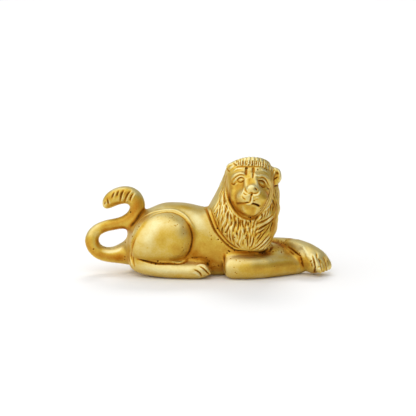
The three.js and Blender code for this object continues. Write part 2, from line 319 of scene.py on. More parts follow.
HAUNCH_LINES = [
    (HAUNCH_RIM, 0.8, -0.28, 0),
    (HAUNCH_GROOVE, 0.8, 0.24, 0.1),
    (FOOT_GROOVE, 0.9, 0.5, 0.45),
    (RUMP_CREASE, 1.3, 0.3, 0.25),
    (FLANK_FOLD, 0.9, 0.12, 0.08),
    (RUMP_RIDGE, 0.9, -0.45, 0),
    (RUMP_GROOVE, 0.6, 0.25, 0.2),
]
HAUNCH_FADE = 0.1
FLATTENED = {"half_width": 11, "depth": 1, "fade": 0}

for line, half_width, depth, dark in HAUNCH_LINES:
    for path in both_sides(line):
        stroke(path, half_width, depth, HAUNCH_FADE, dark)
for path in both_sides(HAUNCH_FLAT):
    stroke(path, **FLATTENED)

# Tail tuft. Slanting chisel cuts on both faces of the tuft at the tail's end, struck into the cold brass,
# with a bright burr beside each.
TUFT_CUTS = [
    [(104.9, 202), (104.2, 204.4)],
    [(107, 199), (107.7, 201.6), (108.4, 204.4)],
    [(113.9, 192.2), (112.6, 195.4), (111.8, 198.4)],
    [(118.4, 190.6), (117.4, 193.6), (116.8, 196.6)],
    [(123.9, 189.6), (121.9, 193.6), (120.7, 197.8), (120.3, 201.6)],
    [(130.8, 190.6), (127.6, 194.8), (125.8, 198.4), (124.7, 202.2)],
    [(133.8, 193.6), (132, 195.6), (130.5, 198.6), (129.8, 201)],
]
TAIL_PLANE = 1 * MM
TUFT_CUT = {"half_width": 0.65, "depth": 0.55, "fade": 0.35, "dark": 0.4}
TUFT_BURR = {"half_width": 0.6, "depth": -0.15, "fade": 0.4, "bright": 0.3}
BURR_BESIDE = 1.7

for line in TUFT_CUTS:
    for path in both_sides(line, TAIL_PLANE):
        stroke(path, **TUFT_CUT)
    for path in both_sides([(across + BURR_BESIDE, down) for across, down in line], TAIL_PLANE):
        stroke(path, **TUFT_BURR)

# Mane. A double line borders it and a thin rim follows the face. Each wavy lock was cut by hand, with
# raised locks toned paler beside the deeper cuts and finer locks strewn between them.
MANE_BORDER = [
    (205.6, 208.6), (209.1, 217.4), (214.7, 230.7), (222.5, 240.5), (230.2, 247.5), (237, 250.4),
    (246, 251.2), (255, 251.8), (262, 252.8),
]
MANE_INNER = [
    (210.2, 208.5), (213, 216.5), (218.6, 229.5), (225.5, 238.8), (232.5, 245.6), (239.5, 249),
]
MANE_RIM = [(208, 208.5), (211, 217), (216.6, 230), (224, 239.7), (231.4, 246.5), (238, 249.8)]
FACE_GROOVE = [
    (227.3, 176), (227.2, 187.5), (228, 196), (230.8, 203.8), (235.5, 211.2), (241, 216.4), (248.7, 218.9),
    (256, 217.6), (261.8, 212.8), (266.4, 205.8), (270.2, 196.8), (272.2, 187), (272.5, 178), (272, 170),
]
DARK_GROOVE = [
    (253, 216.6), (256, 215), (258.9, 213), (261.4, 210.4), (264.7, 205.6), (267.6, 199.2), (269.6, 193.6),
    (270.8, 187),
]
FACE_RIM = [
    (225.2, 180), (225.2, 188), (226, 196.6), (229, 205), (234, 212.9), (240.2, 218.4), (248.7, 221.2),
    (257, 219.8), (263.6, 214.6), (268.4, 207),
]
MANE_LINES = [
    (MANE_BORDER, 0.7, 0.4, 0.05, 0.2),
    (MANE_INNER, 0.6, 0.35, 0.05, 0.15),
    (MANE_RIM, 0.7, -0.3, 0.05, 0),
    (FACE_GROOVE, 0.7, 0.25, 0.05, 0),
    (DARK_GROOVE, 0.85, 0.6, 0.4, 0.95),
    (FACE_RIM, 0.6, -0.35, 0.1, 0),
]
MANE_CUTS = [
    [(217.2, 209.6), (216.9, 212.6), (216.2, 215.4), (215.1, 218)],
    [(219.9, 199.4), (219.6, 202.2), (219.4, 205.4)],
    [(220.6, 206.4), (219.6, 209.4), (219.4, 212.6), (218.4, 216.4)],
    [(222.6, 214.6), (222.5, 217.6), (221.4, 220.8), (220.4, 224.4)],
    [(224.3, 197.4), (224, 200.6), (224.2, 204.4)],
    [(226.2, 205), (226.7, 207.6)],
    [(227.7, 209.8), (227.4, 213), (227.5, 216), (227.6, 219.6)],
    [(225.3, 207.6), (225.6, 210.6), (225, 213.4)],
    [(226.9, 221.6), (226, 224.2), (224.6, 227), (223.6, 229)],
    [(229.4, 224.6), (228.6, 227.2), (227, 230.2), (225.2, 233.6)],
    [(230.5, 214.2), (230.9, 216.8), (231.9, 220)],
    [(231.8, 221.4), (231.2, 224.2), (230.2, 226.8)],
    [(234.2, 215.6), (234.4, 218.8), (235.2, 222.2), (234.5, 226.2), (233.4, 229.6), (232.9, 232.4)],
    [(236.4, 219.6), (236.6, 223.4), (236.2, 227.6)],
    [(238.4, 217.2), (238.5, 221.4), (238.3, 226), (238.5, 231)],
    [(236.2, 230.6), (236.7, 233.8), (238.2, 236.4)],
    [(240.4, 220), (240.4, 224), (240.9, 228)],
    [(242.6, 219.4), (242.4, 222.6), (243.1, 225.6), (244.7, 228)],
    [(246.6, 219.8), (246.2, 223.4), (245.5, 227.4)],
    [(245.3, 228.4), (245, 231.4), (244.2, 235.4)],
    [(248.4, 222.8), (248.2, 226)],
    [(247.7, 230.8), (247, 234.4), (246.3, 236.8), (245.2, 239)],
    [(243.7, 239.4), (242.9, 242.4), (243, 246.8)],
    [(235.8, 242.6), (237.8, 245), (240.2, 248)],
    [(229.6, 234), (229.4, 237.4), (230.6, 241.4)],
    [(222.6, 227), (221.4, 230.4), (221.8, 233.6)],
    [(219, 219.6), (218.2, 223), (218.6, 226.2)],
    [(227.2, 234.6), (226.6, 237.8)],
    [(233.2, 234.4), (232.6, 238.4), (233.4, 243)],
    [(240.2, 232.2), (240, 236.4), (239.4, 240.6)],
    [(250.6, 219.8), (250.3, 223)],
    [(253.8, 224.2), (253, 226.8), (251.8, 229)],
    [(250.6, 226), (249.8, 230), (249.8, 234)],
    [(248.5, 232.6), (247.6, 240.6), (248.2, 247.8)],
    [(254.5, 233.2), (253.7, 237.2), (252.6, 243.6), (249.6, 249)],
    [(251, 234), (250.6, 240), (249.8, 245)],
    [(274, 214.6), (270.2, 217.2), (266.6, 219.6), (262.4, 221.6), (257.8, 223.4), (255, 225.2)],
    [(274.6, 218), (269.6, 223), (264.6, 226), (259.8, 228.6), (255.4, 231.2), (253, 232.8)],
    [(264.6, 229), (261.4, 231.4), (257.4, 233.8)],
    [(262.6, 233.4), (259.4, 236.2), (256.2, 240)],
    [(269.6, 233.6), (266.6, 237.6), (263.4, 241.4), (259.8, 245), (255.6, 248), (251.4, 250)],
    [(271.4, 236.4), (268, 240.6), (264.6, 244.2), (260.6, 248), (257.4, 250.4)],
    [(272.2, 239.8), (268.6, 243.4), (265.6, 247), (263, 251)],
    [(272, 244), (269, 246.6), (266.6, 249.8)],
    [(273.2, 246.4), (271, 249.4), (269.6, 251.6)],
    [(266.4, 231), (263, 235.4), (259.6, 239.6), (256.4, 244)],
    [(258.6, 215.6), (256.6, 218.6), (254.4, 221.8)],
    [(262, 213.6), (262.3, 216.4), (261.2, 219.4)],
    [(265.8, 211), (265.2, 214), (263.8, 217)],
    [(270.2, 203.6), (270.8, 207), (270.2, 211)],
    [(268.2, 209.4), (268.6, 212.4), (267.2, 216)],
    [(272.4, 198.6), (273.6, 201.6), (274.8, 205.6)],
    [(273.4, 193.8), (274.6, 198)],
    [(275.8, 189.6), (276.2, 193.6), (276.6, 198)],
    [(276, 212.4), (276.3, 215.4), (276, 219)],
    [(277.8, 192), (278.2, 198), (278, 204)],
    [(276.6, 201), (277.2, 206.6)],
    [(273.4, 206.4), (273.2, 211)],
    [(270.4, 223.6), (268.6, 228), (266.4, 231.4)],
    [(273, 222), (271.6, 227), (270.2, 231.6)],
]
MANE_LOCKS = [
    [(222.4, 194), (222.4, 199), (222.8, 204.6), (223.7, 209.4), (223.3, 214.4)],
    [(225.8, 201.8), (227, 205.4), (228.5, 208.6), (227, 212), (225.6, 215)],
    [(229.6, 209.6), (230.6, 212), (232.6, 215.4)],
    [(225.2, 217.6), (224.6, 221), (222, 225.4)],
    [(228.4, 223.4), (227.2, 226.6)],
    [(232.4, 225), (231.4, 227.4), (230.4, 230)],
    [(217.4, 206.8), (215.6, 210.4), (214, 214)],
    [(218.4, 211.6), (217.6, 215), (216.4, 218.4)],
    [(229.4, 216.4), (229.6, 219.6), (229, 222.4)],
    [(237.2, 217.6), (237.4, 221.4), (237.2, 226)],
    [(244.4, 221), (244.2, 224)],
    [(241.6, 229), (242.8, 232.6)],
    [(273.2, 196.4), (271.6, 200.6), (269.4, 205.8), (266.4, 209), (264, 211.6)],
    [(275.8, 211.6), (273.2, 215.8), (269.2, 220.4), (263.2, 224.2), (257.6, 226.8), (253.2, 229.8)],
    [(264.2, 228), (260, 230.4), (255, 232.6)],
    [(260.6, 234), (258, 236), (255.4, 238.8)],
    [(269.8, 236), (266, 240.8), (262.4, 245.8)],
    [(270.4, 241), (267, 245), (264, 250.2)],
    [(270.8, 244.8), (268.4, 249.6)],
    [(252.8, 236), (251.6, 242), (250, 247)],
    [(262.8, 212.6), (263.4, 215), (263, 217.6)],
    [(260.2, 216.4), (259.4, 219)],
]
CUT_HALF_WIDTHS = (0.5, 0.7)
CUT_DEPTHS = (0.5, 0.75)
CUT_FADE = 0.4
CUT_DARKS = (0.2, 0.5)
RAISED_LOCK = {"half_width": 0.6, "depth": -0.4, "fade": 0.35, "bright": 0.5}
MANE_FOOT_AND_FAR_SIDE = [
    (246, 250), (255, 250.6), (264, 251), (274, 238.7), (277, 215), (279.5, 200), (279, 186), (274, 186),
]
MANE_NEAR_TEMPLE = [(222, 186), (215, 202)]
MANE_OUTLINE = MANE_INNER + MANE_FOOT_AND_FAR_SIDE + FACE_RIM[::-1] + MANE_NEAR_TEMPLE
FINE_ROWS = 11
FINE_COLUMNS = 26
FINE_FROM = (206, 190)
FINE_TO = 262
FINE_APART = (3.2, 6.2)
FINE_STRAY = (1.1, 2.4)
FINE_LENGTH = 9.5
FINE_BITS = 4
FINE_WAVE = 0.5
FINE_WAVE_TURN = 1.9
FINE_HALF_WIDTH = 0.5
FINE_FADE = 0.45
FINE_DEPTHS = (0.15, 0.4)
FINE_DARK = 0.1
FINE_RIDGE_ABOVE = 1
FINE_HEIGHTS = (0.1, 0.3)
LEAN_AT = [206, 220, 234, 246, 254, 264, 276]
LEAN = [-0.55, -0.4, -0.2, 0.02, -0.15, -0.75, -0.9]


def inside(spot, outline):
    """Whether the spot lies within the closed outline."""
    x, y = spot
    crossings = 0
    for (x0, y0), (x1, y1) in zip(outline, outline[1:] + outline[:1]):
        if (y0 > y) != (y1 > y) and x < x0 + (y - y0) * (x1 - x0) / (y1 - y0):
            crossings += 1
    return crossings % 2 == 1


def fine_lock(row, column):
    """A short wavy line of the mane, as far as it lies on it."""
    x = FINE_FROM[0] + FINE_APART[0] * (column + row % 2 / 2)
    y = FINE_FROM[1] + FINE_APART[1] * row
    x = x + chance.uniform(-FINE_STRAY[0], FINE_STRAY[0])
    y = y + chance.uniform(-FINE_STRAY[1], FINE_STRAY[1])
    line = [(x, y)]
    wave = chance.uniform(0, 2 * math.pi)
    for bit in range(FINE_BITS):
        swing = FINE_WAVE * math.sin(wave + FINE_WAVE_TURN * bit)
        x += FINE_LENGTH / FINE_BITS * np.interp(x, LEAN_AT, LEAN) + swing
        y += FINE_LENGTH / FINE_BITS
        line.append((x, y))
    return [spot for spot in line if inside(spot, MANE_OUTLINE)]


for line, half_width, depth, fade, dark in MANE_LINES:
    stroke(traced(line), half_width, depth, fade, dark)
for line in MANE_CUTS:
    half_width = chance.uniform(*CUT_HALF_WIDTHS)
    depth = chance.uniform(*CUT_DEPTHS)
    stroke(traced(line), half_width, depth, CUT_FADE, chance.uniform(*CUT_DARKS))
for line in MANE_LOCKS:
    stroke(traced(line), **RAISED_LOCK)
for row in range(FINE_ROWS):
    for column in range(FINE_COLUMNS):
        line = fine_lock(row, column)
        if len(line) > 2 and line[0][0] < FINE_TO:
            stroke(traced(line), FINE_HALF_WIDTH, chance.uniform(*FINE_DEPTHS), FINE_FADE, FINE_DARK)
            ridge = [(across + FINE_APART[0] / 2, down - FINE_RIDGE_ABOVE) for across, down in line]
            stroke(traced(ridge), FINE_HALF_WIDTH, -chance.uniform(*FINE_HEIGHTS), FINE_FADE)

# Face. Lids, brows, nostrils, lips and whisker lines, each a stroke as the chaser cut it into the brass.
# Wide shallow strokes hollow the bridge of the nose, the chin and the cheek.
FACE_CUTS = [
    ([(237.4, 180.8), (238.3, 179), (240.3, 177.8), (242.4, 177.9), (244.3, 179.3)], 0.45, 0.34, 0.15),
    ([(237.6, 181), (239, 182.1), (240.8, 182.5), (242.6, 181.7), (244.3, 180)], 0.45, 0.34, 0.15),
    ([(241.8, 181.5), (243.6, 180.3)], 0.45, 0.3, 0.4),
    ([(232.4, 180.2), (234.6, 178), (236.6, 176.5), (239.4, 175.2), (242, 174.8), (244.3, 175.3)],
     0.55, 0.32, 0.18),
    ([(231.2, 183.4), (233.4, 184.6), (235, 183.6)], 0.7, 0.25, 0.3),
    ([(258.2, 180.2), (260, 180.6), (262.4, 180.9), (264.2, 182.2), (265.2, 183.8)], 0.55, 0.42, 0.5),
    ([(259, 183.6), (260.4, 185.4), (262, 186.8), (263.8, 187.4), (265.2, 186.8)], 0.55, 0.42, 0.5),
    ([(259.8, 177.7), (262.4, 177.3), (264.8, 178.3), (266.4, 180.4), (268, 183.4), (269.8, 186.2)],
     0.55, 0.34, 0.25),
    ([(267, 187.9), (269, 189.2)], 0.55, 0.4, 0.9),
    ([(255.2, 188), (257.2, 189.8)], 0.6, 0.65, 1),
    ([(245, 187.6), (245.2, 189.8), (246.2, 191.6), (247.8, 193)], 0.55, 0.35, 0.2),
    ([(247.8, 193), (249.2, 193.5), (250.6, 192.8), (251.6, 192.5), (252.8, 193.2), (254.4, 193.5),
      (256.4, 193.2), (258.4, 192)],
     0.45, 0.4, 0.4),
    ([(251.9, 193.8), (251.6, 195.6)], 0.7, 0.6, 1),
    ([(251.4, 195.6), (250.6, 199.4), (250, 201.8)], 0.6, 0.5, 0.35),
    ([(236, 203.2), (239.6, 203.4), (243.6, 203.2), (248.6, 203)], 0.8, 0.35, 0.3),
    ([(244.8, 203.2), (247, 202.6), (249.2, 202.4)], 0.5, 0.5, 0.8),
    ([(251.4, 203.9), (254.4, 204.3), (257.2, 205.3), (260, 206.9)], 0.9, 0.85, 1),
    ([(243.6, 193), (245, 194.2), (246.8, 195)], 0.45, 0.36, 0.5),
    ([(242.2, 196.6), (243.4, 198.2), (245.2, 199.6)], 0.5, 0.34, 0.4),
    ([(253.2, 200.4), (255.2, 200.9)], 0.45, 0.3, 0.45),
    ([(255.4, 199.4), (258.4, 199)], 0.4, 0.25, 0.2),
    ([(243, 208.4), (250, 209.6), (257, 209.4)], 3.2, 0.7, 0.1),
    ([(246.3, 167.4), (246.1, 171), (246.1, 175.6)], 0.7, 0.75, 0.3),
    ([(253.7, 167.6), (253.5, 172.4)], 1.0, 0.7, 0.2),
    ([(253.5, 172), (253.2, 175.4), (252.6, 178.8)], 0.65, 0.7, 0.45),
    ([(249.6, 177.6), (250.6, 181), (251.2, 184)], 3, 0.5, 0.1),
    ([(262.6, 191), (265.6, 194.6), (265.4, 199.4)], 3, 0.3, 0),
]
FACE_RIDGES = [
    ([(240, 180.2), (242.6, 179.8)], 0.6, 0.15, 0.3),
    ([(236.4, 180.6), (237.6, 178.2), (240, 176.6), (242.8, 176.6), (245, 178)], 0.4, 0.3, 0.2),
    ([(233.2, 182.6), (235.4, 180), (237.4, 177.8)], 0.5, 0.35, 0.3),
    ([(234.8, 185), (237.6, 183.6)], 0.45, 0.25, 0.2),
    ([(260.2, 182.4), (263.2, 184.4)], 0.65, 0.3, 0.4),
    ([(257.4, 179.2), (260.4, 179.1), (263.4, 179.8), (265.8, 182), (267, 184.6)], 0.45, 0.3, 0.3),
    ([(243.8, 188.2), (243.2, 191.4), (241.6, 194.8)], 0.55, 0.4, 0.4),
    ([(253.4, 195), (256.4, 195.4), (259, 193.9), (260.5, 190.8)], 0.5, 0.45, 0.4),
    ([(246.4, 204.5), (249.6, 204.3), (251.4, 202.8), (252.2, 199.6), (252.3, 196.8)], 0.5, 0.45, 0.3),
    ([(233.6, 171.2), (235.8, 169.5), (239, 168.6), (242.4, 168.6)], 0.6, 0.35, 0.4),
    ([(261.6, 170), (264.4, 170.9), (267, 172.2)], 0.6, 0.35, 0.4),
    ([(255.2, 174.8), (258, 175.9), (261, 176)], 0.9, 0.35, 0.3),
    ([(240.6, 173.6), (243.6, 173.6), (245, 175.2)], 0.7, 0.25, 0.3),
    ([(247.6, 188), (249.6, 186), (252.4, 185.4), (255.4, 186.8)], 1.3, 0.3, 0.9),
    ([(246.4, 177.6), (246, 182), (245.4, 186.6)], 1.8, 0.5, 0),
    ([(256, 179.6), (257, 183), (257.4, 186.4)], 1.4, 0.4, 0),
    ([(233, 189), (232.6, 196), (233.6, 202)], 2.4, 0.6, 0),
    ([(264.6, 188.4), (268.4, 191.4)], 1.8, 0.4, 0),
    ([(256, 198), (258.6, 197.4)], 0.4, 0.25, 0.2),
]

carved(FACE_CUTS, FACE_RIDGES)

# Fringe and ears. A row of upright tufts over the brow with a scalloped row above it,
# and the folds of the two ears.
TUFT_GAPS = [
    238.2, 240.6, 243.4, 245.4, 247.3, 249.8, 252.3, 254.4, 256.6, 258.8, 260.8, 263.1, 265.2, 267.2,
    269, 270.8,
]
TUFT_STRAY = 0.4
TUFT_TOP = 160.4
TUFT_DROOP = 0.016
TUFT_MIDDLE = 251
TUFT_SLANT = 0.6
TUFT_LENGTHS = (3.8, 5.4)
TUFT_GAP_HALF_WIDTH = 0.5
TUFT_GAP_DEPTHS = (0.5, 0.75)
TUFT_GAP_FADE = 0.25
TUFT_GAP_DARKS = (0.1, 0.55)
TUFT_BESIDE = 1.1
TUFT_FROM_TO = (0.6, 4.8)
TUFT_HALF_WIDTH = 0.6
TUFT_HEIGHTS = (0.2, 0.45)
TUFT_SHINE = 0.9
SCALLOP_GAPS = [236.2, 240, 243.2, 246.6, 251, 255.2, 259.6, 263.6, 267.4, 270.8]
SCALLOP_TOP = 156.6
SCALLOP_DROOP = 0.013
SCALLOP_MIDDLE = 250
SCALLOP_SLANT = 0.2
SCALLOP_LENGTH = 3.4
SCALLOP_CUT = {"half_width": 0.6, "depth": 0.6, "fade": 0.2, "dark": 0.2}
FRINGE_SHELF = [
    (235, 162.6), (239, 160.4), (244, 159.2), (252, 158.8), (260, 159.4), (266, 161.2), (271, 164),
]
SHELF_CUT = {"half_width": 0.6, "depth": 0.4, "fade": 0.1, "dark": 0.1}
FRINGE_FOOT = [
    (235.6, 167), (242, 166.6), (249, 166.7), (256, 166.5), (262, 166.6), (265.4, 168), (268.4, 169.9),
]
FOOT_CUT = {"half_width": 0.55, "depth": 0.28, "fade": 0.1, "dark": 0.15}
EAR_CUTS = [
    ([(273.6, 180.2), (275.8, 178.3), (278, 176.9)], 0.5, 0.6, 0.6),
    ([(271.4, 167), (271.6, 172), (271.6, 178), (272, 184)], 0.6, 0.4, 0.2),
    ([(274.4, 186.3), (277, 185.7), (279.4, 185.4)], 0.6, 0.6, 0.6),
    ([(277.2, 171.6), (277.9, 175)], 0.9, 0.4, 0.15),
    ([(233, 163.2), (234.8, 164.6), (234.6, 166.6)], 0.5, 0.45, 0.3),
    ([(226.6, 168.4), (228, 170.6), (229.4, 171.6)], 0.7, 0.4, 0.15),
]
EAR_RIDGES = [
    ([(275.2, 170.4), (274.2, 173.4), (273, 177)], 0.8, 0.4, 0.4),
    ([(276.6, 169), (279.4, 172.4), (280.2, 177), (279.2, 181.6)], 0.8, 0.35, 0.1),
    ([(226.6, 168), (227.8, 165.8), (229.8, 164.4), (232.4, 163.8)], 0.9, 0.45, 0.1),
    ([(230, 168.6), (231.4, 167.4), (233.4, 166.2)], 0.9, 0.4, 0.5),
    ([(272.6, 167.6), (274.6, 169), (276.4, 170)], 1.6, 0.8, 0),
    ([(238, 160), (246, 158.6), (254, 158.4), (262, 159.6), (268, 162)], 2.2, 0.6, 0.1),
]

stroke(traced(FRINGE_FOOT), **FOOT_CUT)
stroke(traced(FRINGE_SHELF), **SHELF_CUT)
for x in TUFT_GAPS + chance.uniform(-TUFT_STRAY, TUFT_STRAY, len(TUFT_GAPS)):
    top = TUFT_TOP + TUFT_DROOP * max(x - TUFT_MIDDLE, 0) ** 2
    foot = (x + chance.uniform(-TUFT_SLANT, TUFT_SLANT), top + chance.uniform(*TUFT_LENGTHS))
    depth = chance.uniform(*TUFT_GAP_DEPTHS)
    dark = chance.uniform(*TUFT_GAP_DARKS)
    stroke(traced([(x, top), foot]), TUFT_GAP_HALF_WIDTH, depth, TUFT_GAP_FADE, dark)
    tuft = traced([(x + TUFT_BESIDE, top + down) for down in TUFT_FROM_TO])
    stroke(tuft, TUFT_HALF_WIDTH, -chance.uniform(*TUFT_HEIGHTS), bright=TUFT_SHINE)
for x in SCALLOP_GAPS:
    top = SCALLOP_TOP + SCALLOP_DROOP * (x - SCALLOP_MIDDLE) ** 2
    stroke(traced([(x, top), (x + SCALLOP_SLANT, top + SCALLOP_LENGTH)]), **SCALLOP_CUT)
carved(EAR_CUTS, EAR_RIDGES)

# Paws. Deep lines between the toes with the nails between them, and the crease where one foreleg
# lies over the other. The hind toes are alike on both sides.
PAW_CUTS = [
    ([(312.5, 255.4), (313.4, 259.4), (314.3, 264), (314.6, 268.4), (314.5, 273.2)], 0.65, 0.8, 0.45),
    ([(316.5, 253.4), (316.9, 256), (317.4, 259.4)], 0.6, 0.5, 0.3),
    ([(318.4, 258.4), (320.4, 262), (321.5, 267), (322.6, 273)], 0.65, 0.75, 0.4),
    ([(323.4, 256.6), (324.8, 260), (326, 265), (326.5, 271)], 0.65, 0.7, 0.4),
    ([(327.4, 260.4), (328.8, 265.8)], 0.5, 0.45, 0.2),
    ([(310, 261.6), (311.6, 260.8)], 0.45, 0.4, 0.5),
    ([(311.4, 263.6), (311.8, 266.6)], 0.45, 0.4, 0.3),
    ([(317.8, 267.4), (319.6, 266.8), (320.8, 266.4)], 0.45, 0.4, 0.4),
    ([(287.6, 246.8), (291.2, 249), (294.6, 251.8), (297.4, 254), (300, 255.8)], 0.65, 0.6, 0.6),
    ([(300, 255.8), (301.4, 259.4), (302, 263), (303.4, 267)], 0.7, 0.35, 0.15),
    ([(289.6, 251.2), (293.6, 254.6)], 0.5, 0.35, 0.25),
    ([(224.6, 254.6), (223.8, 262), (224.4, 270), (225.2, 276)], 0.9, 0.4, 0.15),
]
HIND_CUTS = [
    ([(194.6, 269.8), (198, 271.6), (200.4, 273.8), (201.6, 276.6)], 0.55, 0.65, 0.5),
    ([(200.2, 266.2), (203.2, 268.2), (206, 271), (209.2, 275)], 0.6, 0.7, 0.5),
    ([(207.4, 262.4), (209, 266), (209.6, 270)], 0.6, 0.5, 0.3),
]
PAW_RIDGES = [
    ([(311.2, 262.4), (313, 261.4)], 0.45, 0.3, 0.5),
    ([(318.4, 268.9), (320.4, 268.2)], 0.5, 0.3, 0.6),
    ([(320.6, 258.6), (322.4, 261.4), (323.4, 264.4)], 0.6, 0.3, 0.5),
    ([(302.2, 245.4), (304.6, 250), (307.4, 255.4), (309.4, 258.6)], 1.2, 0.25, 0.5),
    ([(196.6, 265.6), (200, 264.6), (204, 265), (207, 267)], 0.8, 0.3, 0.5),
    ([(192.4, 272.6), (196, 273.4), (199.4, 275.6)], 0.6, 0.25, 0.4),
    ([(300.8, 262.6), (301.8, 260)], 0.4, 0.2, 0.2),
]

carved(PAW_CUTS, PAW_RIDGES)
for line, half_width, depth, dark in HIND_CUTS:
    for path in both_sides(line):
        stroke(path, half_width, depth, dark=dark)

# Back of the mane. Longer and shallower cuts run down the hair behind the head and out from the crown,
# in staggered rows round an upright line through the neck. Behind, they stop above the shoulder.
MANE_AXIS = (20 * MM, -1 * MM)
WELL_OUTSIDE = 60
WELL_ABOVE = 80
SKIN_STEP = 0.22 * MM
BACK_ROWS = [20, 26, 32, 38, 44, 50]
BACK_APART = 7
BACK_TURNS = range(60, 300, BACK_APART)
BACK_STRAY = 1.8
BACK_BITS = 4
BACK_BIT_TOP = 4.6
BACK_BIT_DROP = 3
BACK_HALF_WIDTHS = (0.6, 0.9)
BACK_DEPTHS = (0.5, 0.9)
BACK_FADE = 0.45
BACK_DARK = 0.25
FACING_EYE = 0.25
SHOULDER_TOP = 34
SHOULDER_TURN = 150
CROWN_REACHES = [3.5, 7, 10.5, 14]
CROWN_STRAY = 6
CROWN_DEPTHS = (0.4, 0.7)
CROWN_FADE = 0.4
CROWN_DARK = 0.2


def way(turn):
    """The level way out from the neck at a turn in degrees from the front."""
    return Vector((math.sin(math.radians(turn)), -math.cos(math.radians(turn)), 0))


def around_mane(turn, height):
    """The skin of the mane at a turn round it, in degrees from the front, and a height in mm."""
    middle = Vector((*MANE_AXIS, height * MM))
    return tree.ray_cast(middle + way(turn) * WELL_OUTSIDE * MM, -way(turn))


for row, height in enumerate(BACK_ROWS):
    for turn in BACK_TURNS:
        turn = turn + BACK_APART / 2 * (row % 2) + chance.uniform(-BACK_STRAY, BACK_STRAY)
        if height < SHOULDER_TOP and turn > SHOULDER_TURN:
            continue
        spots = []
        for bit in range(BACK_BITS):
            strayed = turn + chance.uniform(-BACK_STRAY, BACK_STRAY)
            spots.append(around_mane(strayed, height + BACK_BIT_TOP - BACK_BIT_DROP * bit))
        if not all(hit for hit, *_ in spots):
            continue
        if any(facing.dot((EYE - hit).normalized()) > FACING_EYE for hit, facing, *_ in spots):
            continue
        line = curve([hit for hit, *_ in spots], SKIN_STEP)
        half_width = chance.uniform(*BACK_HALF_WIDTHS)
        stroke(line, half_width, chance.uniform(*BACK_DEPTHS), BACK_FADE, BACK_DARK)
for turn in BACK_TURNS[::2]:
    spots = []
    for reach in CROWN_REACHES:
        away = way(turn + chance.uniform(-CROWN_STRAY, CROWN_STRAY)) * reach * MM
        spots.append(tree.ray_cast(Vector((*MANE_AXIS, WELL_ABOVE * MM)) + away, Vector((0, 0, -1)))[0])
    half_width = chance.uniform(*BACK_HALF_WIDTHS)
    stroke(curve(spots, SKIN_STEP), half_width, chance.uniform(*CROWN_DEPTHS), CROWN_FADE, CROWN_DARK)

# Stains, painted shade and painted highlights. Brown polish lies thick under the mane, in the joins and
# inside the tail's loop. More brown paints shade under the chin, down the side of the face, mane and
# forelegs away from the softbox, along the back and the tail, and over the brow where it dims a highlight.
# Painted highlights lie where the softbox falls on the haunch, the flank, the hind foot, the paw, the
# foreleg's top and the tail.
# Each line with its half width and how dark it paints: real polish in the joins and hollows, and painted
# shade on the shaded side, under the chin and over the brow.
STAINS_AND_PAINTED_SHADE = [
    ([(228.6, 192), (230.4, 200), (234.6, 207.4), (240.6, 212.4), (248, 215), (256, 213.6)], 2.6, 0.6),
    ([(131, 252), (134, 240), (139, 230), (146, 220)], 1.8, 0.38),
    ([(186, 220), (191, 230), (192.5, 240), (190, 250), (184, 258)], 2.2, 0.48),
    ([(146, 207), (141, 213), (136, 220), (130, 227)], 2.4, 0.6),
    ([(100, 232), (106, 229.5), (114, 228.5), (122, 227.5), (128, 230)], 2, 0.52),
    ([(106, 207), (113, 204), (121, 203), (128, 205.5)], 1.5, 0.52),
    ([(97, 238), (98, 246), (103, 250)], 1.6, 0.38),
    ([(206, 208), (211, 220), (217, 232), (226, 242), (236, 250), (250, 252), (262, 253)], 1.6, 0.42),
    ([(258, 254), (268, 253), (276, 247), (284, 245), (289, 249)], 3.8, 0.6),
    ([(287, 247), (293, 251), (299, 256), (302, 263), (303, 268)], 2, 0.52),
    ([(304, 256), (307, 262), (307, 269)], 2.4, 0.3),
    ([(268, 265), (280, 264), (294, 262.5)], 2.6, 0.3),
    ([(285, 268), (297, 267)], 2.4, 0.22),
    ([(192, 258), (199, 258), (206, 260)], 2.4, 0.38),
    ([(224.5, 256), (224, 264), (225, 273)], 1.6, 0.45),
    ([(312, 271), (320, 272), (327, 268)], 2, 0.22),
    ([(275, 200), (275, 214), (273, 226), (271, 236)], 4, 0.45),
    ([(268, 188), (267, 199), (262, 208)], 3, 0.45),
    ([(276.5, 172), (277.5, 180)], 2, 0.45),
    ([(197, 243), (206, 249), (218, 254)], 4.5, 0.21),
    ([(128, 258), (110, 257), (96, 254), (88, 245), (90, 235)], 3.6, 0.5),
    ([(98, 227), (110, 222), (122, 219), (133, 212), (138, 203), (134, 195)], 3.6, 0.45),
    ([(250, 170), (250, 177), (250, 184)], 4, 0.3),
    ([(170, 247), (178, 250), (185, 244)], 4, 0.18),
    ([(229, 176), (231, 186), (233, 196)], 3, 0.21),
    ([(236.4, 203.4), (241, 204), (246, 204)], 1.2, 0.6),
    ([(266, 222), (262, 231), (256, 239)], 5, 0.45),
    ([(194, 250), (202, 256), (212, 263), (218, 268)], 4.5, 0.35),
    ([(262, 184), (266, 191), (263, 199)], 4, 0.35),
    ([(240, 266), (262, 268), (284, 266)], 4.5, 0.22),
    ([(163, 205.6), (180, 206.6), (196, 209)], 3, 0.25),
    ([(268, 258), (282, 257), (296, 259)], 3, 0.25),
    ([(104, 203), (108, 196), (116, 192.4), (125, 191.6), (132, 196)], 4, 0.5),
]
# Painted highlights, each a line with its half width and how bright it paints, where the softbox lights
# the surface.
PAINTED_HIGHLIGHTS = [
    ([(138, 265), (155, 269), (172, 270.6), (190, 271)], 2.6, 0.7),
    ([(192, 215), (198, 221), (203, 231)], 4, 0.6),
    ([(160, 218), (153, 226), (149, 236), (146, 246)], 6, 0.6),
    ([(296, 247), (302, 250), (307, 256)], 3, 0.5),
    ([(230, 256), (240, 257), (256, 258)], 2, 0.4),
    ([(111, 190.6), (118, 188.6), (126, 188.2)], 1.4, 0.5),
    ([(102, 251.4), (109, 252.2), (117, 251), (122, 247.6)], 0.9, 0.8),
    ([(212, 264), (217, 265.6)], 1.6, 0.5),
]
STAIN_FADE = 0.15
SOFTENINGS = 2

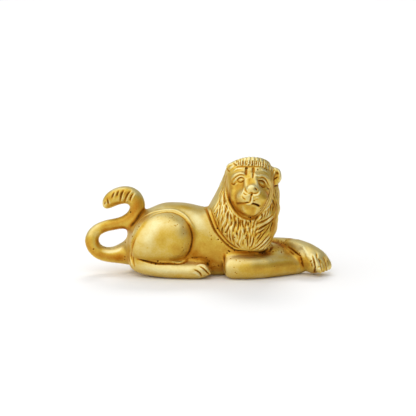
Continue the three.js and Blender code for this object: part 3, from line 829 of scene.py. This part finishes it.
for line, half_width, dark in STAINS_AND_PAINTED_SHADE:
    for path in both_sides(line):
        stroke(path, half_width, 0, STAIN_FADE, dark)
for line, half_width, bright in PAINTED_HIGHLIGHTS:
    stroke(traced(line), half_width, 0, STAIN_FADE, bright=bright)
for _ in range(SOFTENINGS):
    layers = np.stack([cut, rise, soot_and_shade, rubbed_and_highlit], 1)
    cut, rise, soot_and_shade, rubbed_and_highlit = ((layers + averaged(layers)) / 2).T

# Pits. Small holes of the casting, most of them along the grooves and where the mane meets the
# forelegs. Those that the photograph shows are at their own pixels, with half their width in mm.
PITS = [
    (145.2, 261.2, 0.6), (157.8, 261.3, 0.55), (155.6, 263.9, 0.6), (151, 263.5, 0.4),
    (163, 264, 0.4), (178.5, 264, 0.5), (184, 263.5, 0.4), (141.8, 260.2, 0.4),
    (138.5, 226.3, 0.6), (136.8, 229.2, 0.4), (132.5, 236.5, 0.5), (133.5, 239, 0.35),
    (131.4, 242.3, 0.35), (130.3, 212, 0.6), (125.2, 242.3, 0.6), (93.4, 249.4, 0.45),
    (105.4, 247.6, 0.4), (129, 260.6, 0.35), (124.8, 256.8, 0.45), (124.6, 259.6, 0.4),
    (217.2, 228.4, 0.5), (218.3, 239.5, 0.5), (211.3, 235.8, 0.35), (211.4, 239.2, 0.3),
    (221.5, 242.6, 0.35), (228, 244.6, 0.45), (232.2, 247.8, 0.6), (229.4, 251.6, 0.5),
    (227, 253.2, 0.4), (238.4, 250.6, 0.5), (248.8, 251.6, 0.7), (257, 251.8, 0.5),
    (260, 252.6, 0.5), (262.6, 253.3, 0.5), (225.4, 232.5, 0.6), (233.2, 231, 0.5),
    (234.4, 237.5, 0.5), (236.6, 234, 0.45), (260.4, 232, 0.5), (245.5, 238.4, 0.45),
    (246.5, 235.7, 0.5), (247.4, 232.2, 0.4), (214.4, 213.4, 0.45), (219.6, 204.2, 0.45),
    (226.6, 206.6, 0.4), (272.2, 245.5, 0.6), (269, 246.3, 0.5), (278.5, 247.5, 0.55),
    (281.8, 252.4, 0.6), (273.5, 251.4, 0.4), (271.5, 241.3, 0.4), (295.3, 252.4, 0.6),
    (299.8, 255.5, 0.55), (299, 253.3, 0.4), (276, 243.6, 0.4), (280.4, 244.8, 0.35),
    (283, 247.4, 0.35), (278, 241.4, 0.4), (281.4, 241.2, 0.35), (285.6, 240.6, 0.45),
    (235.2, 272.5, 0.35), (236.5, 273.4, 0.3), (234, 267.5, 0.3), (236.5, 260.5, 0.3),
    (192.2, 257.8, 0.4), (197, 257.3, 0.35), (206.5, 257.5, 0.35), (207.8, 263.2, 0.4),
    (195, 262.4, 0.3), (164.6, 222.5, 0.35), (158.6, 224, 0.3), (176, 225.8, 0.38),
    (174.6, 225.4, 0.32), (177.5, 224.5, 0.32), (183.3, 227, 0.38), (154.5, 219.5, 0.28),
    (161, 218.5, 0.28), (168.4, 221.8, 0.28), (173.5, 216.5, 0.28), (147, 241.5, 0.3),
    (147, 248, 0.3), (158.5, 255.5, 0.28), (246.5, 164.3, 0.55), (248.8, 165, 0.5),
    (252.2, 165, 0.6), (256, 164, 0.5), (236.2, 165, 0.5), (241.8, 165.6, 0.4),
    (246, 168, 0.6), (247.5, 168, 0.5), (265.3, 168.3, 0.5), (267, 169.5, 0.5),
    (258, 169.6, 0.45), (268.5, 165.8, 0.45), (261, 208.4, 0.5), (250.4, 217.6, 0.6),
    (262, 209.4, 0.6), (264.8, 205.8, 0.6), (256.4, 214.6, 0.5), (250.5, 221.2, 0.5),
    (266.2, 202.6, 0.45), (259.4, 212.4, 0.5), (248.6, 217.4, 0.4), (254.6, 216, 0.4),
]
PIT_LINES = [
    (FOOT_GROOVE, 24, 0.4),
    (HAUNCH_GROOVE, 26, 0.35),
    (MANE_BORDER, 18, 0.5),
    ([(264, 253), (270, 249), (277, 246), (283, 249), (288, 253)], 34, 1.4),
    ([(193, 259), (200, 258.6), (208, 262), (216, 266), (222, 268)], 16, 1.1),
    ([(152, 220), (162, 219), (172, 219), (180, 223)], 24, 1.8),
    ([(182, 232), (186, 240), (184, 250)], 10, 1.6),
    ([(215, 214), (226, 232), (240, 240), (252, 238), (268, 232)], 12, 3),
    ([(228, 262), (250, 266), (285, 266)], 10, 2),
]
STREWN_HALF_WIDTHS = (0.15, 0.38)
PIT_SOOT = 2.6
SECOND_PIT_BESIDE = 0.45
SECOND_PIT_SHARE = (0.5, 0.8)


def pit(spot, half_width):
    """A small dark hole of the casting, with a smaller one running into it."""
    spot = spot.reshape(-1, 3)
    beside = spot + chance.normal(0, SECOND_PIT_BESIDE * half_width * MM, 3)
    for hole in (spot, beside):
        stroke(hole, half_width, half_width, 0, PIT_SOOT * half_width)
        half_width = chance.uniform(*SECOND_PIT_SHARE) * half_width


for across, down, half_width in PITS:
    pit(laid([(across, down)]), half_width)
for line, count, scatter in PIT_LINES:
    near_side = traced(line)
    for path in (near_side, near_side * (1, -1, 1)):
        strewn = path[chance.integers(0, len(path), count)] + chance.normal(0, scatter * MM, (count, 3))
        for spot in nearest(strewn):
            pit(spot, chance.uniform(*STREWN_HALF_WIDTHS))

# Carved skin. The strokes are sunk into the brass or stand on it, and polishing has softened their edges.
# The skin stays just inside the box of the solid casting.
INSET = 0.02 * MM

points = points + out * (rise - cut)[:, None]
points = eased(points, 1)
points = np.clip(points, np.array(solid_low) + (INSET, INSET, 0), np.array(solid_high) - INSET)

# Patina, painted shade and painted highlights. Hollows keep the dark of old polish, and the same darkening
# paints the shade that falls into creases and the joins between parts; edges are rubbed and painted
# brighter, and upward faces get a painted highlight from the light above. The tone of each point runs from
# bright at 0 through plain brass to black at 1. Hollows are judged at three scales, each with its passes
# of easing, its full depth in mm, and how much it darkens or brightens.
PLAIN = 0.36
HOLLOW_SCALES = [(14, 0.12, 0.3, 0.16), (90, 0.8, 0.34, 0.1), (500, 1.6, 0.3, 0.06)]
HOLLOW_MOST = 0.3
SOOT_AND_SHADE_SHARE = 0.55
RUB_AND_HIGHLIGHT_SHARE = 0.3
TOP_LIGHT_PAINTED = 0.14
UPWARD_FROM = 0.1
UPWARD_OVER = 0.6
TRIANGLES = 196000

out = normals()
# Darker in hollows (patina and painted shade) and lighter on edges (rubbing and painted highlight), judged
# from the shape alone.
hollow = np.zeros(len(points))
for passes, full, darker, brighter in HOLLOW_SCALES:
    below = np.einsum("ij,ij->i", eased(points, passes) - points, out) / (full * MM)
    hollow += darker * np.clip(below, 0, 1) - brighter * np.clip(-below, 0, 1)
tone = PLAIN + np.minimum(hollow, HOLLOW_MOST) + SOOT_AND_SHADE_SHARE * soot_and_shade - RUB_AND_HIGHLIGHT_SHARE * rubbed_and_highlit
# Painted highlight: faces that turn upward to the softbox are made paler.
upward = np.clip((out[:, 2] - UPWARD_FROM) / UPWARD_OVER, 0, 1)
tone -= TOP_LIGHT_PAINTED * upward * upward * (3 - 2 * upward)
patina_and_light_tone = lion.data.attributes.new("tone", "FLOAT", "POINT")
patina_and_light_tone.data.foreach_set("value", np.clip(tone, 0, 1).astype(np.float32))
for face in lion.data.polygons:
    face.use_smooth = True
fewer = lion.modifiers.new("fewer", "DECIMATE")
fewer.ratio = TRIANGLES / (2 * len(lion.data.polygons))
lion.data = bpy.data.meshes.new_from_object(lion.evaluated_get(bpy.context.evaluated_depsgraph_get()))
lion.modifiers.clear()

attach(lion, "root")
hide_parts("lion")

# Brass. Satin yellow metal, pale where it is rubbed and where highlights are painted, and orange-brown in
# the hollows from patina and painted shade, clouded by handling and faintly uneven from the mould. Clouds
# and bumps have their marks per metre and their detail.
# The pale end of the ramp shows rubbed places and painted highlights, and the orange-brown and black end
# shows patina, soot and painted shade.
TONES = [
    (0.0, (0.83, 0.74, 0.38)),
    (0.36, (0.67, 0.45, 0.068)),
    (0.62, (0.5, 0.195, 0.012)),
    (1.0, (0.02, 0.009, 0.004)),
]
CLOUDS = [(170, 3, 0.07), (1500, 2, 0.035)]
CLOUD_RANGE = (0.3, 0.7)
ROUGH_TONES = (0.2, 0.9)
ROUGHNESS = (0.42, 0.65)
HAMMERED = {"scale": 330, "detail": 2, "strength": 0.7, "depth": 0.15}
GRAINY = {"scale": 1900, "detail": 2, "strength": 0.35, "depth": 0.02}

brass = bpy.data.materials.new("brass")
brass.use_nodes = True
nodes = brass.node_tree.nodes
links = brass.node_tree.links
shader = nodes["Principled BSDF"]
shader.inputs["Metallic"].default_value = 1
place = nodes.new("ShaderNodeTexCoord")


def speckle(scale, detail):
    """A noise over the casting, with its marks per metre."""
    noise = nodes.new("ShaderNodeTexNoise")
    noise.inputs["Scale"].default_value = scale
    noise.inputs["Detail"].default_value = detail
    links.new(place.outputs["Object"], noise.inputs["Vector"])
    return noise.outputs["Fac"]


def ranged(value, span, goal):
    """The value with its span drawn out to the goal."""
    scaled = nodes.new("ShaderNodeMapRange")
    for socket, number in zip(["From Min", "From Max", "To Min", "To Max"], [*span, *goal]):
        scaled.inputs[socket].default_value = number
    links.new(value, scaled.inputs["Value"])
    return scaled.outputs["Result"]


def summed(one, other):
    """The sum of two values."""
    added = nodes.new("ShaderNodeMath")
    links.new(one, added.inputs[0])
    links.new(other, added.inputs[1])
    return added.outputs["Value"]


def uneven(scale, detail, strength, depth):
    """Bumps over the casting, with their depth in mm."""
    bump = nodes.new("ShaderNodeBump")
    bump.inputs["Strength"].default_value = strength
    bump.inputs["Distance"].default_value = depth * MM
    links.new(speckle(scale, detail), bump.inputs["Height"])
    return bump


# The tone attribute, which carries patina and soot together with painted shade and painted highlights.
patina_and_light_input = nodes.new("ShaderNodeAttribute")
patina_and_light_input.attribute_name = "tone"
clouded = patina_and_light_input.outputs["Fac"]
for scale, detail, swing in CLOUDS:
    clouded = summed(clouded, ranged(speckle(scale, detail), CLOUD_RANGE, (-swing, swing)))
tint = nodes.new("ShaderNodeValToRGB")
while len(tint.color_ramp.elements) < len(TONES):
    tint.color_ramp.elements.new(0.5)
for element, (position, colour) in zip(tint.color_ramp.elements, TONES):
    element.position = position
    element.color = (*colour, 1)
links.new(clouded, tint.inputs["Fac"])
links.new(tint.outputs["Color"], shader.inputs["Base Color"])
links.new(ranged(clouded, ROUGH_TONES, ROUGHNESS), shader.inputs["Roughness"])
hammered = uneven(**HAMMERED)
grainy = uneven(**GRAINY)
links.new(hammered.outputs["Normal"], grainy.inputs["Normal"])
links.new(grainy.outputs["Normal"], shader.inputs["Normal"])
lion.data.materials.clear()
lion.data.materials.append(brass)

# Floor and light. A wide white floor under a large softbox on the left, with a lamp that lights only
# the floor behind the lion, in a white room that is a little brighter on the left and behind.
FLOOR_REACH = 9
FLOOR_DROP = 0.02 * MM
FLOOR_WHITE = (0.9, 0.9, 0.9, 1)
ROOM_WHITE = (1, 1, 1, 1)
ROOM = (0.65, 0.35)
DIM_SIDE = (0.8, -0.6, 0)
LIGHTS = [
    ("softbox", (-0.35, -0.45, 0.8), LOOKED_AT, 2.4, 15),
    ("backdrop", (0, 2.6, 2.2), (0, 2.6, 0), 1.5, 60),
]

floor_mesh = bpy.data.meshes.new("floor")
shape = bmesh.new()
bmesh.ops.create_grid(shape, x_segments=1, y_segments=1, size=FLOOR_REACH)
shape.to_mesh(floor_mesh)
shape.free()
floor = bpy.data.objects.new("floor", floor_mesh)
bpy.context.scene.collection.objects.link(floor)
floor.location.z = -FLOOR_DROP
white = bpy.data.materials.new("floor_white")
white.use_nodes = True
white.node_tree.nodes["Principled BSDF"].inputs["Base Color"].default_value = FLOOR_WHITE
white.node_tree.nodes["Principled BSDF"].inputs["Roughness"].default_value = 1
floor_mesh.materials.append(white)

world = bpy.data.worlds.new("studio")
bpy.context.scene.world = world
world.use_nodes = True
room = world.node_tree
towards = room.nodes.new("ShaderNodeTexCoord")
dimming = room.nodes.new("ShaderNodeVectorMath")
dimming.operation = "DOT_PRODUCT"
dimming.inputs[1].default_value = DIM_SIDE
brightness = room.nodes.new("ShaderNodeMapRange")
brightness.interpolation_type = "SMOOTHSTEP"
brightness.inputs["From Min"].default_value = -1
brightness.inputs["To Min"].default_value = ROOM[0]
brightness.inputs["To Max"].default_value = ROOM[1]
room.nodes["Background"].inputs["Color"].default_value = ROOM_WHITE
room.links.new(towards.outputs["Generated"], dimming.inputs[0])
room.links.new(dimming.outputs["Value"], brightness.inputs["Value"])
room.links.new(brightness.outputs["Result"], room.nodes["Background"].inputs["Strength"])

lamps = {}
for name, spot, aim, size, power in LIGHTS:
    lamp = bpy.data.objects.new(name, bpy.data.lights.new(name, "AREA"))
    bpy.context.scene.collection.objects.link(lamp)
    lamp.location = spot
    lamp.rotation_euler = (Vector(aim) - Vector(spot)).to_track_quat("-Z", "Y").to_euler()
    lamp.data.size = size
    lamp.data.energy = power
    lamps[name] = lamp
backdrop_lit = bpy.data.collections.new("backdrop_lit")
backdrop_lit.objects.link(floor)
lamps["backdrop"].light_linking.receiver_collection = backdrop_lit
bpy.context.scene.view_settings.view_transform = "Standard"
